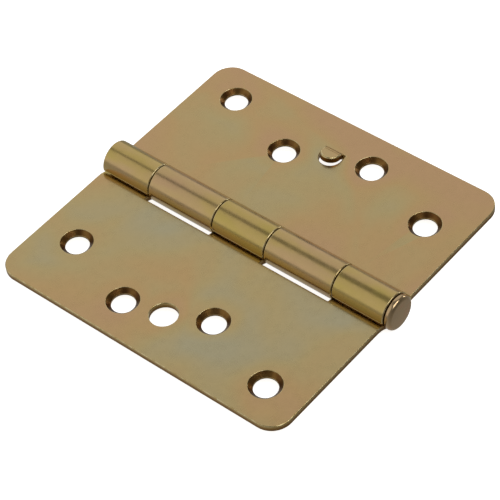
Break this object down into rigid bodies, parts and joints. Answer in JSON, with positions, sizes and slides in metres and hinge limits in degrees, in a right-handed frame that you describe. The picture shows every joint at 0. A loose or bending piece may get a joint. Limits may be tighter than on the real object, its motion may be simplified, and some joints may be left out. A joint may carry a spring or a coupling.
{
  "type": "butt hinge",
  "caption": "Flat steel door hinge with rounded corners, countersunk screw holes, curled knuckles, a removable headed pin and a pressed security tab that enters a hole in the other leaf.",
  "frame": {"origin": "on the pin's axis, halfway along the assembled hinge, from the head's front face to the barrel's far end", "axes": "+Y along the pin, away from its head; +Z out of the leaves' front faces with the hinge open flat; +X towards the door leaf, the one with the security tab"},
  "size_m": [0.1016, 0.1038, 0.0112],
  "materials": {
    "leaf_zinc": "yellow passivated zinc plate, satin, faintly iridescent",
    "pin_zinc": "yellow passivated zinc plate, darker, satin"
  },
  "bodies": {
    "frame": {"frame_leaf": "leaf_zinc"},
    "door": {"door_leaf": "leaf_zinc"},
    "pin": {"hinge_pin": "pin_zinc"}
  },
  "joints": [
    {"name": "leaf_swing", "type": "hinge", "parent": "frame", "child": "door", "pos_m": [0, 0, 0], "axis": [0, -1, 0], "range_deg": [-135, 180]},
    {"name": "pin_pull", "type": "slide", "parent": "frame", "child": "pin", "axis": [0, -1, 0], "range_m": [0, 0.102]}
  ]
}
